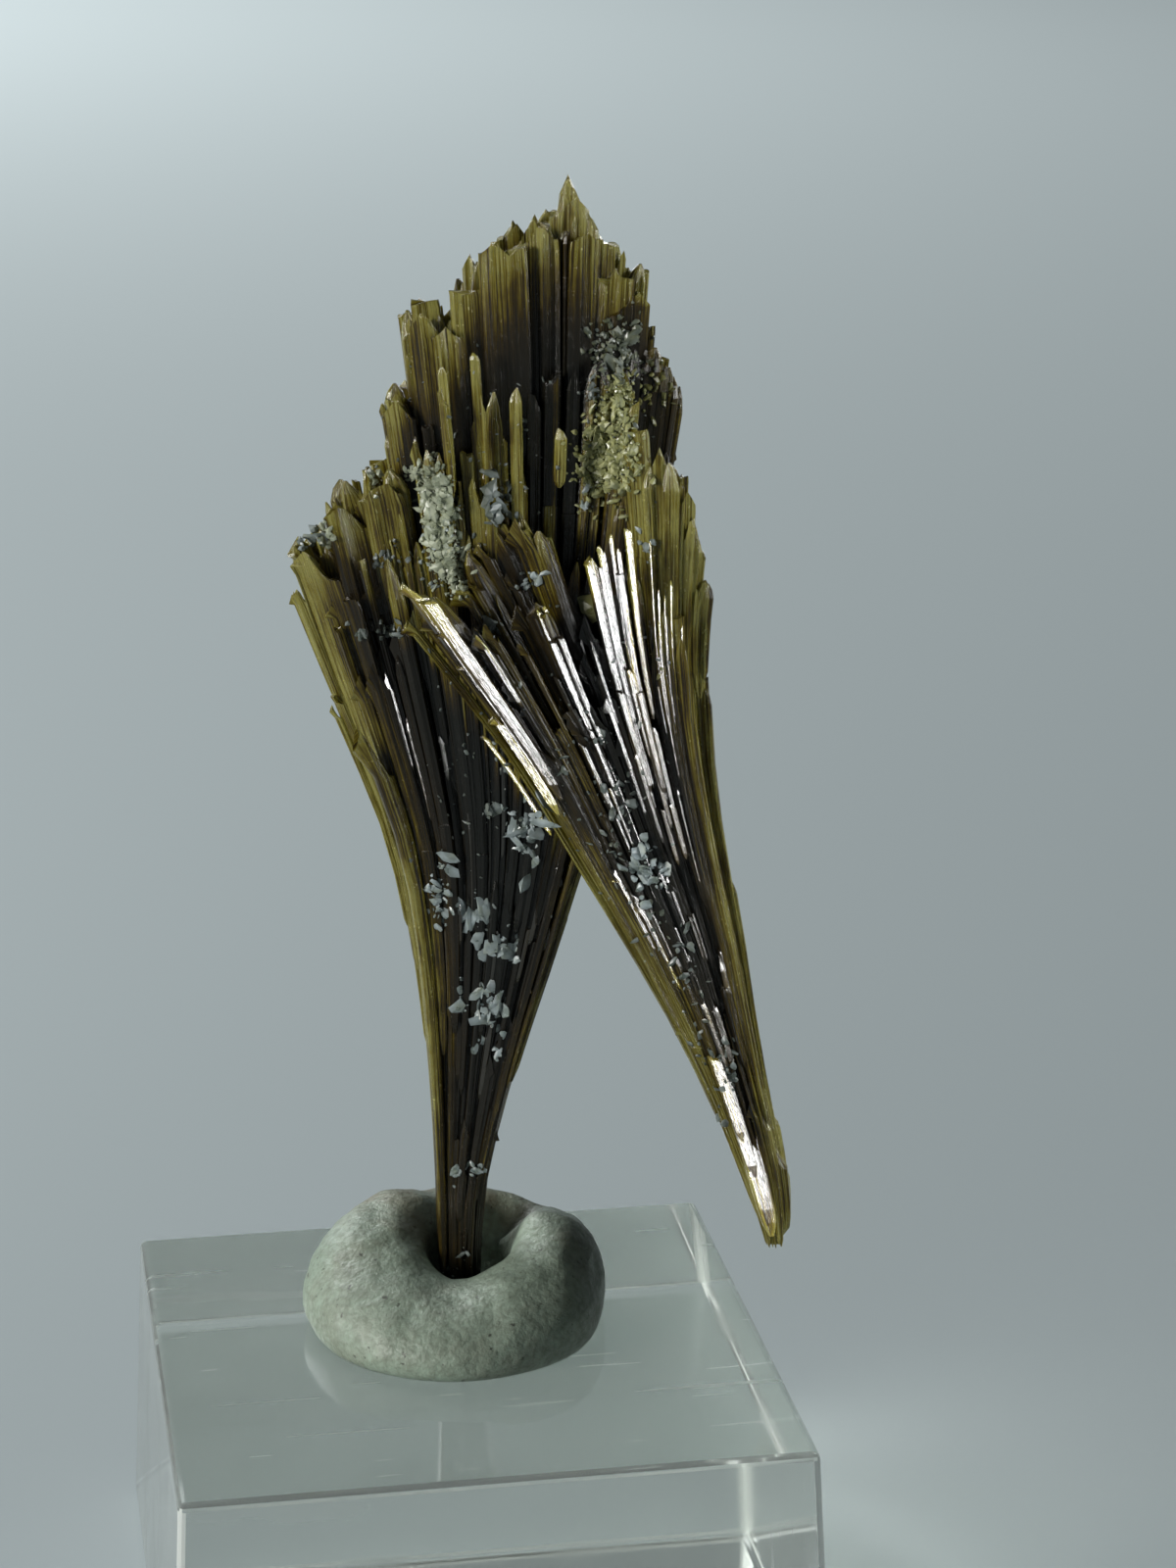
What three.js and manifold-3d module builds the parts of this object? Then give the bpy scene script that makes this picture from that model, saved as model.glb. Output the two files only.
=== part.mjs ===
// Epidote specimen: two fans of long striated crystals, grown together, stand in a ring of
// mineral putty on a clear acrylic block. Millimetres, +Z up. The origin is the middle of the
// block's underside, and the block's front edge runs along X.
import * as THREE from "three";
import { mergeVertices } from "three/addons/utils/BufferGeometryUtils.js";
import Module from "manifold-3d";

const wasm = await Module();
wasm.setup();

// Driving dimensions
const BLOCK_TOP = 25.4; // side of the block's square top
const BLOCK_HEIGHT = 12.7;
const BLOCK_DRAFT = 2.8; // degrees that each side of the block leans out towards its underside
const BLOCK_BEVEL = 0.35;
const PIECE_GAP = 0.3; // clear space between pieces that rest on or in each other
const FOOT_PLACE = [0.6, 3.0]; // the foot of the specimen on the block, from the block's middle
const FAN_TURN = -9.85; // degrees that the fans are turned from the block's front edge
const FACET_MERGE = 0.03; // slivers thinner than this are merged into the faces beside them

const PUTTY_CENTRE = [-0.1, -0.6]; // middle of the putty ring, from the foot
const PUTTY_REACH = 6.2; // mean radius of the ring, where it is widest
const PUTTY_CREST = 3.6; // mean height of the ring
const PUTTY_HOLE = 1.75; // mean radius of the dent that the foot stands in

// Thumbed lobes of the putty, as [direction in degrees, added height, added reach, half width].
const PUTTY_LOBES = [
  [-95, -0.9, 0.6, 40],
  [-140, 0.0, 0.35, 26],
  [180, 0.6, 0.35, 30],
  [138, 0.8, 0.3, 30],
  [80, 0.6, -0.2, 32],
  [5, 0.9, -0.05, 28],
  [-42, 0.1, 0.2, 24],
];

// The upright fan, as [height, left edge, right edge, half depth] above the block's top.
const UPRIGHT_FAN = [
  [0.4, -0.85, 0.7, 1.0],
  [4, -0.95, 0.75, 1.1],
  [7, -1.0, 1.15, 1.15],
  [10, -1.15, 2.0, 1.3],
  [13, -1.35, 2.8, 1.5],
  [16, -1.6, 3.8, 1.75],
  [20, -2.15, 5.0, 2.1],
  [22, -2.6, 5.6, 2.25],
  [24, -3.3, 6.2, 2.4],
  [28, -4.75, 7.3, 2.65],
  [33, -6.5, 8.4, 2.8],
  [40, -8.6, 9.6, 2.8],
  [50, -11.2, 10.8, 2.8],
];

// The leaning fan, which opens up and to the left from its point at the lower right.
const LEANING_FAN = [
  [4.8, 12.8, 13.5, 0.45],
  [6.5, 12.2, 13.6, 0.8],
  [10, 10.95, 12.85, 1.0],
  [14, 9.2, 12.0, 1.15],
  [18, 7.05, 11.3, 1.3],
  [22, 4.75, 10.4, 1.45],
  [26, 2.55, 9.75, 1.6],
  [30, -0.4, 9.4, 1.7],
  [34, -3.4, 9.6, 1.7],
  [40, -8.3, 10.0, 1.7],
];
const LEANING_DEPTH = -3.1; // how far the leaning fan lies in front of the upright one

// The solid body of each fan, which its crystals grow out of, in the same measures.
const UPRIGHT_BODY = [
  [0.4, -1.05, 0.8, 0.95],
  [4, -1.15, 0.85, 1.05],
  [8, -1.2, 1.4, 1.15],
  [12, -1.45, 2.4, 1.35],
  [16, -1.75, 3.6, 1.6],
  [20, -2.2, 4.7, 1.9],
  [24, -3.2, 5.8, 2.2],
  [28, -4.5, 6.8, 2.4],
  [32, -5.3, 7.5, 2.4],
  [35, -3.6, 7.8, 2.2],
  [38, -1.8, 7.6, 2.0],
  [41, -0.6, 7.0, 1.8],
  [44, 1.3, 6.2, 1.2],
  [46, 2.8, 5.3, 0.5],
];
const LEANING_BODY = [
  [5.3, 12.7, 13.6, 0.4],
  [8, 11.75, 13.4, 0.8],
  [12, 10.1, 12.6, 1.0],
  [16, 8.2, 11.9, 1.15],
  [20, 6.1, 11.1, 1.25],
  [24, 3.9, 10.3, 1.35],
  [28, 1.7, 9.8, 1.5],
  [31, 0.3, 9.6, 1.5],
  [33.5, 1.0, 9.3, 1.3],
  [36, 5.6, 8.8, 1.0],
  [37.5, 6.8, 8.3, 0.6],
];

// Crystals of each fan, as [across, height, depth, width, length traced down from the tip].
const UPRIGHT_CRYSTALS = [
  [-6.2, 34.2, -0.3, 1.4, 33.0],
  [-6.35, 31.9, 0.3, 0.9, 20.0],
  [-5.6, 34.5, 0.5, 1.4, 24.0],
  [-4.95, 27.6, -0.2, 0.6, 12.0],
  [-4.7, 36.4, 0.4, 1.3, 24.0],
  [-4.1, 36.7, -1.1, 1.5, 22.0],
  [-3.3, 37.4, -1.6, 1.4, 22.0],
  [-2.9, 37.3, 0.8, 1.4, 20.0],
  [-2.4, 37.3, -1.8, 1.3, 22.0],
  [-2.45, 40.3, 0.5, 1.3, 22.0],
  [-2.1, 40.2, -0.6, 1.2, 20.0],
  [-1.75, 43.3, 0.3, 1.2, 22.0],
  [-1.1, 43.9, -0.4, 1.4, 22.0],
  [-0.5, 43.6, 0.5, 1.4, 20.0],
  [0.0, 43.1, -0.9, 1.2, 18.0],
  [0.4, 44.5, 0.8, 1.4, 20.0],
  [0.9, 45.6, 0.2, 1.5, 20.0],
  [1.6, 46.1, -0.5, 1.5, 20.0],
  [2.3, 46.8, 0.5, 1.6, 20.0],
  [3.0, 47.2, -0.3, 1.6, 20.0],
  [3.7, 47.3, 0.5, 1.5, 20.0],
  [4.3, 48.1, -0.3, 1.5, 20.0],
  [4.8, 48.7, 0.1, 1.6, 22.0],
  [5.3, 47.3, -0.6, 1.3, 20.0],
  [5.6, 46.3, 0.6, 1.3, 18.0],
  [6.15, 46.2, -0.2, 1.2, 18.0],
  [6.65, 45.1, 0.5, 1.2, 18.0],
  [7.25, 45.2, -0.2, 1.1, 18.0],
  [7.9, 42.0, -0.8, 1.4, 16.0],
  [8.4, 41.0, 0.2, 1.3, 18.0],
  [8.7, 40.6, 0.4, 1.1, 20.0],
  [8.45, 38.6, 0.9, 1.0, 18.0],
  [5.0, 22.0, 0.1, 1.0, 21.0],
  [4.2, 19.8, -0.5, 0.9, 18.0],
  [-3.6, 33.6, -2.3, 1.5, 24.0],
  [-2.1, 34.2, -2.6, 1.5, 26.0],
  [-0.4, 38.4, -2.2, 1.5, 26.0],
  [0.9, 40.0, -2.0, 1.5, 26.0],
  [2.3, 39.9, -1.7, 1.4, 22.0],
  [3.6, 41.2, -1.4, 1.5, 22.0],
  [5.2, 43.4, -1.6, 1.5, 20.0],
  [6.5, 42.6, -1.9, 1.5, 18.0],
  [-4.4, 32.0, 1.9, 1.7, 22.0],
  [-2.7, 35.4, 2.2, 1.7, 24.0],
  [-0.9, 38.2, 2.4, 1.7, 26.0],
  [0.8, 41.6, 2.1, 1.7, 28.0],
  [2.6, 43.4, 1.9, 1.7, 28.0],
  [4.2, 44.6, 1.8, 1.7, 28.0],
  [5.8, 41.8, 2.1, 1.7, 26.0],
  [7.2, 39.0, 2.2, 1.7, 22.0],
  [7.9, 34.6, 1.7, 1.6, 20.0],
  [1.7, 35.4, 2.9, 1.6, 24.0],
  [4.6, 36.8, 2.8, 1.7, 24.0],
];

const LEANING_CRYSTALS = [
  [-1.45, 32.5, -3.9, 1.3, 27.0],
  [-0.75, 32.7, -4.2, 1.3, 24.0],
  [0.3, 31.6, -4.1, 1.2, 20.0],
  [0.5, 34.2, -3.0, 1.5, 18.0],
  [1.4, 35.4, -2.8, 1.6, 18.0],
  [2.4, 35.8, -2.9, 1.6, 18.0],
  [3.2, 35.1, -3.1, 1.4, 18.0],
  [3.3, 32.5, -4.3, 1.0, 18.0],
  [4.1, 32.7, -4.4, 1.0, 20.0],
  [4.9, 34.2, -3.4, 1.2, 18.0],
  [5.7, 35.0, -4.4, 1.1, 24.0],
  [6.3, 35.6, -4.8, 1.1, 28.0],
  [6.9, 35.8, -4.7, 1.1, 28.0],
  [7.2, 39.2, -3.1, 1.5, 22.0],
  [8.1, 38.5, -3.3, 1.4, 24.0],
  [8.8, 37.9, -3.1, 1.2, 24.0],
  [9.1, 36.8, -3.3, 1.2, 26.0],
  [9.3, 35.8, -3.2, 1.0, 28.0],
  [9.6, 35.0, -2.9, 0.9, 28.0],
  [9.9, 33.2, -3.2, 0.8, 5.0],
  [9.85, 29.0, -3.0, 0.8, 22.0],
  [10.45, 22.4, -3.1, 0.7, 16.0],
  [10.95, 20.6, -3.0, 0.7, 15.0],
  [11.6, 17.1, -3.1, 0.6, 12.0],
  [12.95, 10.3, -3.0, 0.6, 5.0],
  [2.4, 31.0, -2.1, 1.6, 20.0],
  [5.6, 34.0, -1.7, 1.6, 24.0],
  [8.4, 33.0, -1.6, 1.6, 24.0],
];

// Stubby later crystals grown on the fans, as [across, height, depth, width, tall, lean].
const GROWN_CRYSTALS = [
  [-0.6, 35.4, -3.1, 1.7, 2.9, 8],
  [0.0, 33.2, -3.2, 1.1, 2.2, 30],
  [6.0, 38.1, -3.3, 1.9, 2.3, -10],
  [6.9, 39.9, -3.0, 1.7, 2.0, 12],
  [5.7, 36.9, -3.6, 1.6, 1.8, 25],
  [6.6, 37.6, -3.9, 1.5, 1.9, -20],
  [7.1, 41.4, -2.4, 1.6, 2.2, 18],
  [5.4, 40.4, -2.2, 1.2, 1.6, -15],
  [1.9, 36.2, -2.4, 1.3, 1.3, 20],
];

// A row of a fan at any height, straight between the rows that are given.
function rowAt(fan, height) {
  const last = fan.length - 1;
  const found = fan.findIndex((row) => row[0] > height);
  const upper = found < 0 ? last : Math.max(1, found);
  const [low, high] = [fan[upper - 1], fan[upper]];
  const share = (height - low[0]) / (high[0] - low[0]);
  return low.map((value, i) => value + share * (high[i] - value));
}

// A solid from a list of rings with equal numbers of points, closed at both ends by a point.
function solidOfRings(rings, bottom, top) {
  const sides = rings[0].length;
  const positions = [bottom, ...rings.flat(), top].flat();
  const index = [];
  const at = (ring, side) => 1 + ring * sides + (side % sides);
  const end = 1 + rings.length * sides;
  for (let side = 0; side < sides; side++) {
    index.push(0, at(0, side + 1), at(0, side));
    index.push(end, at(rings.length - 1, side), at(rings.length - 1, side + 1));
    for (let ring = 0; ring + 1 < rings.length; ring++) {
      const [a, b] = [at(ring, side), at(ring, side + 1)];
      const [c, d] = [at(ring + 1, side), at(ring + 1, side + 1)];
      index.push(a, b, d, a, d, c);
    }
  }
  const geometry = new THREE.BufferGeometry();
  geometry.setAttribute("position", new THREE.Float32BufferAttribute(positions, 3));
  geometry.setIndex(index);
  return solidOf(geometry);
}

function solidOf(geometry, tolerance = 1e-4) {
  const bare = geometry.clone();
  bare.deleteAttribute("normal");
  bare.deleteAttribute("uv");
  const merged = mergeVertices(bare, tolerance);
  const vertProperties = merged.attributes.position.array;
  const triVerts = new Uint32Array(merged.index.array);
  return new wasm.Manifold(new wasm.Mesh({ numProp: 3, vertProperties, triVerts }));
}

function geometryOf(solid) {
  const mesh = solid.getMesh();
  const geometry = new THREE.BufferGeometry();
  geometry.setAttribute("position", new THREE.BufferAttribute(mesh.vertProperties, 3));
  geometry.setIndex(new THREE.BufferAttribute(mesh.triVerts, 1));
  return geometry;
}

// The fluted body of a fan.
function fanBody(rows, depth) {
  const SIDES = 18;
  const FLUTE = 0.06;
  const rings = rows.map(([height, left, right, half]) =>
    Array.from({ length: SIDES }, (_, side) => {
      const angle = (2 * Math.PI * side) / SIDES;
      const flute = 1 + (side % 2 ? FLUTE : -FLUTE);
      const across = (left + right) / 2 + (flute * Math.cos(angle) * (right - left)) / 2;
      return [across, depth + flute * Math.sin(angle) * half, height];
    }),
  );
  const middle = ([height, left, right]) => [(left + right) / 2, depth, height];
  return solidOfRings(rings, middle(rows[0]), middle(rows[rows.length - 1]));
}

// One long crystal: a flattened six-sided prism that follows the spread of its fan from its
// root to a slanting point.
function longCrystal(fan, fanDepth, [across, height, depth, width, length], order) {
  const SIDES = 6;
  const STEP = 5;
  const root = Math.max(fan[0][0], height - length);
  const tipRow = rowAt(fan, height);
  const share = (across - tipRow[1]) / (tipRow[2] - tipRow[1]);
  const layer = (depth - fanDepth) / tipRow[3];
  const cap = Math.min(0.9 * width, 0.3 * (height - root));
  const steps = Math.max(2, Math.round((height - cap - root) / STEP));
  const twist = 0.35 * Math.sin(order * 2.4);
  const rings = [];
  const place = (level) => {
    const row = rowAt(fan, level);
    return [row[1] + share * (row[2] - row[1]), fanDepth + layer * row[3]];
  };
  for (let step = 0; step <= steps; step++) {
    const level = root + ((height - cap - root) * step) / steps;
    const [x, y] = place(level);
    const row = rowAt(fan, level);
    const spread = (row[2] - row[1]) / (tipRow[2] - tipRow[1]);
    const radius = (width / 2) * Math.max(0.45, Math.min(1, 0.35 + 0.75 * spread));
    const ring = [];
    for (let side = 0; side < SIDES; side++) {
      const angle = (2 * Math.PI * side) / SIDES + twist;
      const slant = step === steps ? 0.35 * width * Math.cos(angle + order) : 0;
      ring.push([x + radius * Math.cos(angle), y + 0.9 * radius * Math.sin(angle), level + slant]);
    }
    rings.push(ring);
  }
  const [tipX, tipY] = place(height);
  const [rootX, rootY] = place(root);
  return solidOfRings(rings, [rootX, rootY, root], [tipX, tipY, height]);
}

// A stubby crystal with flat faces, grown on the face of a fan.
function grownCrystal([across, height, depth, width, tall, lean], order) {
  const geometry = new THREE.CylinderGeometry(width / 2, width / 2, tall * 0.6, 6, 1);
  const cap = new THREE.ConeGeometry(width / 2, tall * 0.25, 6, 1);
  const top = cap.clone().translate(0, tall * 0.42, 0);
  const bottom = cap.rotateX(Math.PI).translate(0, -tall * 0.42, 0);
  const place = new THREE.Matrix4()
    .makeTranslation(across, depth, height)
    .multiply(new THREE.Matrix4().makeRotationY(THREE.MathUtils.degToRad(-lean)))
    .multiply(new THREE.Matrix4().makeRotationX(Math.PI / 2 + 0.1 * Math.sin(order)));
  const pieces = [geometry, top, bottom].map((piece) => solidOf(piece.applyMatrix4(place)));
  return wasm.Manifold.union(pieces);
}

// The outer body of a solid, so that the sealed gaps between its crystals are filled.
function filled(solid) {
  const pinched = solidOf(geometryOf(solid.simplify(FACET_MERGE)), 0.1 * FACET_MERGE);
  return pinched.decompose().reduce((a, b) => (a.volume() > b.volume() ? a : b));
}

function epidoteCluster() {
  const pieces = [
    fanBody(UPRIGHT_BODY, 0),
    fanBody(LEANING_BODY, LEANING_DEPTH),
    ...UPRIGHT_CRYSTALS.map((c, i) => longCrystal(UPRIGHT_FAN, 0, c, i)),
    ...LEANING_CRYSTALS.map((c, i) => longCrystal(LEANING_FAN, LEANING_DEPTH, c, i)),
    ...GROWN_CRYSTALS.map(grownCrystal),
  ];
  const material = new THREE.MeshStandardMaterial({
    color: 0x3a3a20,
    roughness: 0.22,
    metalness: 0,
    flatShading: true,
  });
  const mesh = new THREE.Mesh(geometryOf(filled(wasm.Manifold.union(pieces))), material);
  mesh.name = "epidote_cluster";
  return mesh;
}

// The ring of putty: a lumpy closed ring around the foot, from its dent to its outer edge.
function puttyRing() {
  const SEGMENTS = 36;
  // The ring's cross-section, as [share of the way out, share of the crest's height].
  const SECTION = [
    [0, 0],
    [0.02, 0.5],
    [0.12, 0.84],
    [0.3, 1],
    [0.55, 0.99],
    [0.78, 0.85],
    [0.94, 0.6],
    [1, 0.33],
    [0.98, 0.12],
    [0.92, 0],
  ];
  const positions = [];
  const index = [];
  for (let i = 0; i < SEGMENTS; i++) {
    const angle = (360 * i) / SEGMENTS;
    const [raised, pushed] = lobesAt(angle);
    const c = Math.cos(THREE.MathUtils.degToRad(angle));
    const s = Math.sin(THREE.MathUtils.degToRad(angle));
    const hole = PUTTY_HOLE + 0.25 * c; // the dent is wider on the right
    const reach = PUTTY_REACH + pushed;
    const crest = PUTTY_CREST + raised;
    SECTION.forEach(([out, up], k) => {
      const x = (1 - out) * hole * c + out * (PUTTY_CENTRE[0] + reach * c);
      const y = (1 - out) * hole * s + out * (PUTTY_CENTRE[1] + reach * s);
      positions.push(x, y, PIECE_GAP + up * (crest - PIECE_GAP));
      const [a, b] = [i * SECTION.length + k, i * SECTION.length + ((k + 1) % SECTION.length)];
      const turn = SECTION.length * (i + 1 === SEGMENTS ? 1 - SEGMENTS : 1);
      index.push(a, b, b + turn, a, b + turn, a + turn);
    });
  }
  const geometry = new THREE.BufferGeometry();
  geometry.setAttribute("position", new THREE.Float32BufferAttribute(positions, 3));
  geometry.setIndex(index);
  const material = new THREE.MeshStandardMaterial({ color: 0x7d877a, roughness: 0.55 });
  const mesh = new THREE.Mesh(geometry, material);
  mesh.name = "mounting_putty";
  return mesh;
}

// How much the lobes raise the ring and push it out in one direction.
function lobesAt(angle) {
  let [raised, pushed] = [0, 0];
  for (const [direction, height, reach, spread] of PUTTY_LOBES) {
    const away = THREE.MathUtils.euclideanModulo(angle - direction + 180, 360) - 180;
    const share = Math.exp(-((away / spread) ** 2));
    raised += height * share;
    pushed += reach * share;
  }
  return [raised, pushed];
}

// One level of the block: a square of a given half side, with its corners cut by the bevel.
function blockLevel(half, height) {
  const cut = half - BLOCK_BEVEL;
  const corners = [
    [cut, -half],
    [half, -cut],
    [half, cut],
    [cut, half],
    [-cut, half],
    [-half, cut],
    [-half, -cut],
    [-cut, -half],
  ];
  return corners.map(([x, y]) => [x, y, height]);
}

// The clear block, whose sides lean out towards its underside, with a fine bevel along each edge.
function acrylicBlock() {
  const slope = Math.tan(THREE.MathUtils.degToRad(BLOCK_DRAFT));
  const halfAt = (height) => BLOCK_TOP / 2 + (BLOCK_HEIGHT - height) * slope;
  const shoulder = BLOCK_HEIGHT - BLOCK_BEVEL;
  const levels = [
    blockLevel(halfAt(0) - BLOCK_BEVEL, 0),
    blockLevel(halfAt(BLOCK_BEVEL), BLOCK_BEVEL),
    blockLevel(halfAt(shoulder), shoulder),
    blockLevel(halfAt(BLOCK_HEIGHT) - BLOCK_BEVEL, BLOCK_HEIGHT),
  ];
  const solid = solidOfRings(levels, [0, 0, 0], [0, 0, BLOCK_HEIGHT]);
  const material = new THREE.MeshStandardMaterial({
    color: 0xb4c0ba,
    roughness: 0.06,
    metalness: 0,
    transparent: true,
    opacity: 0.4,
  });
  const mesh = new THREE.Mesh(geometryOf(solid), material);
  mesh.name = "acrylic_block";
  return mesh;
}

const group = new THREE.Group();
const specimen = new THREE.Group();
specimen.position.set(FOOT_PLACE[0], FOOT_PLACE[1], BLOCK_HEIGHT);
specimen.rotation.z = THREE.MathUtils.degToRad(FAN_TURN);
specimen.add(epidoteCluster());
specimen.add(puttyRing());
group.add(specimen);
group.add(acrylicBlock());

export default group;
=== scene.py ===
"""Epidote specimen: two fans of long striated crystals, grown together, with their foot in a ring
of mineral putty on a clear acrylic block. Metres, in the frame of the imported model."""

import math
import random

import bmesh
import bpy
import numpy as np
from mathutils import Euler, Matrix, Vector, noise
from mathutils.bvhtree import BVHTree


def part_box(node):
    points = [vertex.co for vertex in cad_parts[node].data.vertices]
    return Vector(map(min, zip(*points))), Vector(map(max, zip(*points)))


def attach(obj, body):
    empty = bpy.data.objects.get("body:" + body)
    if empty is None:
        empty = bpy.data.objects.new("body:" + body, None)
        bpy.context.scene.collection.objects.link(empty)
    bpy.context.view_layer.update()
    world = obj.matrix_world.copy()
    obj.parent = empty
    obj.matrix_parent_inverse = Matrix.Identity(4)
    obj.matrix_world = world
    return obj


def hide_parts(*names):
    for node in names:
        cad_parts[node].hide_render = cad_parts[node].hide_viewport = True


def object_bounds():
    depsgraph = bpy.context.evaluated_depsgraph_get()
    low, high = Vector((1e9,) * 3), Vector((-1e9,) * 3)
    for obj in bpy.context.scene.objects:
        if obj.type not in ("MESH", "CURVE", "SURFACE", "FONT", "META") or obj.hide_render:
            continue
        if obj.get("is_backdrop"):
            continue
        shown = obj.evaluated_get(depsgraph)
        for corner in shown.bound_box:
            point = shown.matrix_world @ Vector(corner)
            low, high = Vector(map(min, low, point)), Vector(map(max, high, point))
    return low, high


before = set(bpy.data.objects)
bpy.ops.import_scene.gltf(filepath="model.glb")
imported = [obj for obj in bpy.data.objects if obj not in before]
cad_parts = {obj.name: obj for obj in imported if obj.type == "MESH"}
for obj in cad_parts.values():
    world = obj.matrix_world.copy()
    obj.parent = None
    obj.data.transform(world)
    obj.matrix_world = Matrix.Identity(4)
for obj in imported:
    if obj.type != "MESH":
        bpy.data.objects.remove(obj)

CAD_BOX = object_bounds()
MM = 0.001
BODY = "root"

# The specimen's own measures are millimetres from its foot on the block, across to the right,
# away from the viewer and up. The foot's place and turn on the block are those of the solids.
BLOCK_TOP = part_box("acrylic_block")[1].z / MM
FOOT = np.array([0.6, 3.0, BLOCK_TOP])
FAN_TURN = math.radians(-9.85)

# Each fan, as [height, left edge, right edge, half depth].
UPRIGHT_ROWS = [
    [0.4, -0.85, 0.7, 1], [4, -0.95, 0.75, 1.1],
    [7, -1, 1.15, 1.15], [10, -1.15, 2, 1.3],
    [13, -1.35, 2.8, 1.5], [16, -1.6, 3.8, 1.75],
    [20, -2.15, 5, 2.1], [22, -2.6, 5.6, 2.25],
    [24, -3.3, 6.2, 2.4], [28, -4.75, 7.3, 2.65],
    [33, -6.5, 8.4, 2.8], [40, -8.6, 9.6, 2.8],
    [50, -11.2, 10.8, 2.8],
]
LEANING_ROWS = [
    [4.3, 12.95, 13.55, 0.35], [4.8, 12.8, 13.5, 0.45],
    [6.5, 12.2, 13.6, 0.8], [10, 10.95, 12.85, 1],
    [14, 9.2, 12, 1.15], [18, 7.05, 11.3, 1.3],
    [22, 4.75, 10.4, 1.45], [26, 2.55, 9.75, 1.6],
    [30, -0.4, 9.4, 1.7], [34, -3.4, 9.6, 1.7],
    [40, -8.3, 10, 1.7],
]

# The crystals of the upright fan's outline, as [across, height, depth, width, length from the
# tip], and those that lie on its front and back.
UPRIGHT_TIPS = [
    [-6.2, 34.2, -0.3, 1.4, 33], [-6.35, 31.9, 0.3, 0.9, 20],
    [-5.6, 34.5, 0.5, 1.4, 24], [-4.95, 27.6, -0.2, 0.6, 12],
    [-4.7, 36.4, 0.4, 1.3, 24], [-4.1, 36.7, -1.1, 1.5, 22],
    [-3.3, 37.4, -1.6, 1.4, 22], [-2.9, 37.3, 0.8, 1.4, 20],
    [-2.4, 37.3, -1.8, 1.3, 22], [-2.45, 40.3, 0.5, 1.3, 22],
    [-2.1, 40.2, -0.6, 1.2, 20], [-1.75, 43.3, 0.3, 1.2, 22],
    [-1.1, 43.9, -0.4, 1.4, 22], [-0.5, 43.6, 0.5, 1.4, 20],
    [0, 43.1, -0.9, 1.2, 18], [0.4, 44.5, 0.8, 1.4, 20],
    [0.9, 45.6, 0.2, 1.5, 20], [1.6, 46.1, -0.5, 1.5, 20],
    [2.3, 46.8, 0.5, 1.6, 20], [3, 47.2, -0.3, 1.6, 20],
    [3.7, 47.3, 0.5, 1.5, 20], [4.3, 48.1, -0.3, 1.5, 20],
    [4.8, 48.7, 0.1, 1.6, 22], [5.3, 47.3, -0.6, 1.3, 20],
    [5.6, 46.3, 0.6, 1.3, 18], [6.15, 46.2, -0.2, 1.2, 18],
    [6.65, 45.1, 0.5, 1.2, 18], [7.25, 45.2, -0.2, 1.1, 18],
    [7.9, 42, -0.8, 1.4, 16], [8.4, 41, 0.2, 1.3, 18],
    [8.7, 40.6, 0.4, 1.1, 20], [8.45, 38.6, 0.9, 1, 18],
    [5, 22, 0.1, 1, 21], [4.2, 19.8, -0.5, 0.9, 18],
]
UPRIGHT_FACES = [
    [-3.6, 33.6, -2.3, 1.5, 24], [-2.1, 34.2, -2.6, 1.5, 26],
    [-0.4, 38.4, -2.2, 1.5, 26], [0.9, 40, -2, 1.5, 26],
    [2.3, 39.9, -1.7, 1.4, 22], [3.6, 41.2, -1.4, 1.5, 22],
    [5.2, 43.4, -1.6, 1.5, 20], [6.5, 42.6, -1.9, 1.5, 18],
    [-4.4, 32, 1.9, 1.7, 22], [-2.7, 35.4, 2.2, 1.7, 24],
    [-0.9, 38.2, 2.4, 1.7, 26], [0.8, 41.6, 2.1, 1.7, 28],
    [2.6, 43.4, 1.9, 1.7, 28], [4.2, 44.6, 1.8, 1.7, 28],
    [5.8, 41.8, 2.1, 1.7, 26], [7.2, 39, 2.2, 1.7, 22],
    [7.9, 34.6, 1.7, 1.6, 20], [1.7, 35.4, 2.9, 1.6, 24],
    [4.6, 36.8, 2.8, 1.7, 24],
]
# The same for the leaning fan: first its top, then its right side and its back.
LEANING_TIPS = [
    [-1.45, 32.5, -3.9, 1.3, 27], [-0.75, 32.7, -4.2, 1.3, 24],
    [0.3, 31.6, -4.1, 1.2, 20], [0.5, 34.2, -3, 1.5, 18],
    [1.4, 35.4, -2.8, 1.6, 18], [2.4, 35.8, -2.9, 1.6, 18],
    [3.2, 35.1, -3.1, 1.4, 18], [3.3, 32.5, -4.3, 1, 18],
    [7.2, 39.2, -3.1, 1.5, 22], [8.1, 38.5, -3.3, 1.4, 24],
    [8.8, 37.9, -3.1, 1.2, 24], [9.1, 36.8, -3.3, 1.2, 26],
    [9.3, 35.8, -3.2, 1, 28], [9.6, 35, -2.9, 0.9, 28],
]
LEANING_SIDES = [
    [9.9, 33.2, -3.2, 0.8, 5], [9.85, 29, -3, 0.8, 22],
    [10.45, 22.4, -3.1, 0.7, 16], [10.95, 20.6, -3, 0.7, 15],
    [11.6, 17.1, -3.1, 0.6, 12], [12.95, 10.3, -3, 0.6, 5],
    [2.4, 31, -2.1, 1.6, 20], [5.6, 34, -1.7, 1.6, 24],
    [8.4, 33, -1.6, 1.6, 24],
]
# The top of the bright rib, as [across, height].
RIB_TOPS = [[4.1, 32.7], [4.9, 34.2], [5.7, 35.0], [6.3, 35.6], [6.9, 35.8]]
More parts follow.
